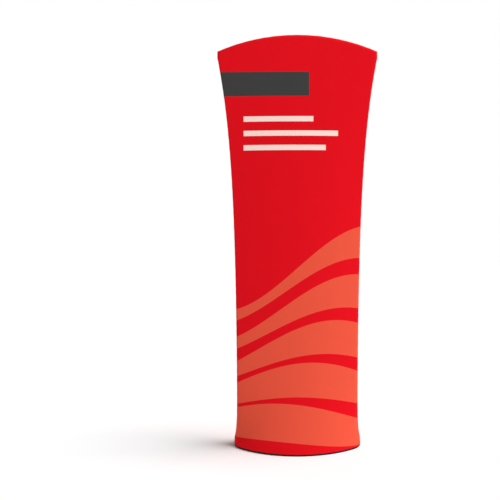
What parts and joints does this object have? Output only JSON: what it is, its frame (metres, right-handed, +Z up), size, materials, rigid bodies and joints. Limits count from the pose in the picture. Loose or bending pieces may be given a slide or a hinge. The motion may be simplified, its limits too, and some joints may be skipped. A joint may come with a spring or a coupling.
{
  "type": "fabric banner tower",
  "caption": "Free-standing fabric tower: a stretched printed cover with a flat arched top over a tube frame, necking in and flaring to a weighted oval base.",
  "frame": {"origin": "on the floor under the middle of the oval base", "axes": "+Z up, +X along the wide arched top, the printed front faces -Y"},
  "size_m": [0.782, 0.3609, 2],
  "materials": {
    "cover_cloth": "dye-printed stretch knit",
    "hook_tape": "woven nylon hooks",
    "loop_tape": "brushed nylon loops",
    "zip_tape": "woven polyester",
    "zip_teeth": "polyester coil",
    "zip_metal": "black nickel",
    "coated_steel": "black powder coat",
    "foot_rubber": "moulded",
    "tube_aluminium": "satin anodised",
    "mill_aluminium": "mill finish",
    "rivet_aluminium": "plain",
    "zinc_steel": "zinc plated",
    "spring_steel": "bright",
    "cap_plastic": "moulded polyamide"
  },
  "bodies": {
    "tower": {"arch_tube": "tube_aluminium", "back_panel": "cover_cloth", "base_plate": "coated_steel", "base_ring_left": "mill_aluminium", "base_ring_right": "mill_aluminium", "bracket_screws": "zinc_steel", "connector_rivets": "rivet_aluminium", "front_panel": "cover_cloth", "hook_tape": "hook_tape", "left_arch_stub": "mill_aluminium", "left_end_cap": "cap_plastic", "left_lower_connector": "mill_aluminium", "left_lower_tube": "tube_aluminium", "left_middle_tube": "tube_aluminium", "left_socket": "mill_aluminium", "left_upper_connector": "mill_aluminium", "left_upper_tube": "tube_aluminium", "loop_tape": "loop_tape", "right_arch_stub": "mill_aluminium", "right_end_cap": "cap_plastic", "right_lower_connector": "mill_aluminium", "right_lower_tube": "tube_aluminium", "right_middle_tube": "tube_aluminium", "right_socket": "mill_aluminium", "right_upper_connector": "mill_aluminium", "right_upper_tube": "tube_aluminium", "ring_brackets": "zinc_steel", "ring_rivets": "rivet_aluminium", "rubber_feet": "foot_rubber", "socket_screws": "zinc_steel", "zip_stops": "zip_metal", "zip_tape": "zip_tape", "zip_teeth": "zip_teeth"},
    "left_base_button": {"left_base_button": "spring_steel"},
    "left_lower_button": {"left_lower_button": "spring_steel"},
    "left_upper_button": {"left_upper_button": "spring_steel"},
    "left_top_button": {"left_top_button": "spring_steel"},
    "right_base_button": {"right_base_button": "spring_steel"},
    "right_lower_button": {"right_lower_button": "spring_steel"},
    "right_upper_button": {"right_upper_button": "spring_steel"},
    "right_top_button": {"right_top_button": "spring_steel"},
    "zip_slider": {"zip_slider": "zip_metal"},
    "zip_pull": {"zip_pull": "zip_metal"}
  },
  "joints": [
    {"name": "left_base_press", "type": "slide", "parent": "tower", "child": "left_base_button", "axis": [-1, 0, 0], "range_m": [0, 0.0042], "stiffness_N_per_m": 1500, "springref_m": -0.002},
    {"name": "left_lower_press", "type": "slide", "parent": "tower", "child": "left_lower_button", "axis": [-1, 0, 0], "range_m": [0, 0.0042], "stiffness_N_per_m": 1500, "springref_m": -0.002},
    {"name": "left_upper_press", "type": "slide", "parent": "tower", "child": "left_upper_button", "axis": [-1, 0, 0], "range_m": [0, 0.0042], "stiffness_N_per_m": 1500, "springref_m": -0.002},
    {"name": "left_top_press", "type": "slide", "parent": "tower", "child": "left_top_button", "axis": [-1, 0, 0], "range_m": [0, 0.0042], "stiffness_N_per_m": 1500, "springref_m": -0.002},
    {"name": "right_base_press", "type": "slide", "parent": "tower", "child": "right_base_button", "axis": [1, 0, 0], "range_m": [0, 0.0042], "stiffness_N_per_m": 1500, "springref_m": -0.002},
    {"name": "right_lower_press", "type": "slide", "parent": "tower", "child": "right_lower_button", "axis": [1, 0, 0], "range_m": [0, 0.0042], "stiffness_N_per_m": 1500, "springref_m": -0.002},
    {"name": "right_upper_press", "type": "slide", "parent": "tower", "child": "right_upper_button", "axis": [1, 0, 0], "range_m": [0, 0.0042], "stiffness_N_per_m": 1500, "springref_m": -0.002},
    {"name": "right_top_press", "type": "slide", "parent": "tower", "child": "right_top_button", "axis": [1, 0, 0], "range_m": [0, 0.0042], "stiffness_N_per_m": 1500, "springref_m": -0.002},
    {"name": "zip_run", "type": "hinge", "parent": "tower", "child": "zip_slider", "pos_m": [0, -0.23318, 0.0272], "axis": [0, 0, 1], "range_deg": [0, 51.04]},
    {"name": "pull_swing", "type": "hinge", "parent": "zip_slider", "child": "zip_pull", "pos_m": [0.18024, 0.14439, 0.0272], "axis": [0.9024, -0.4308, 0], "range_deg": [0, 170]}
  ]
}
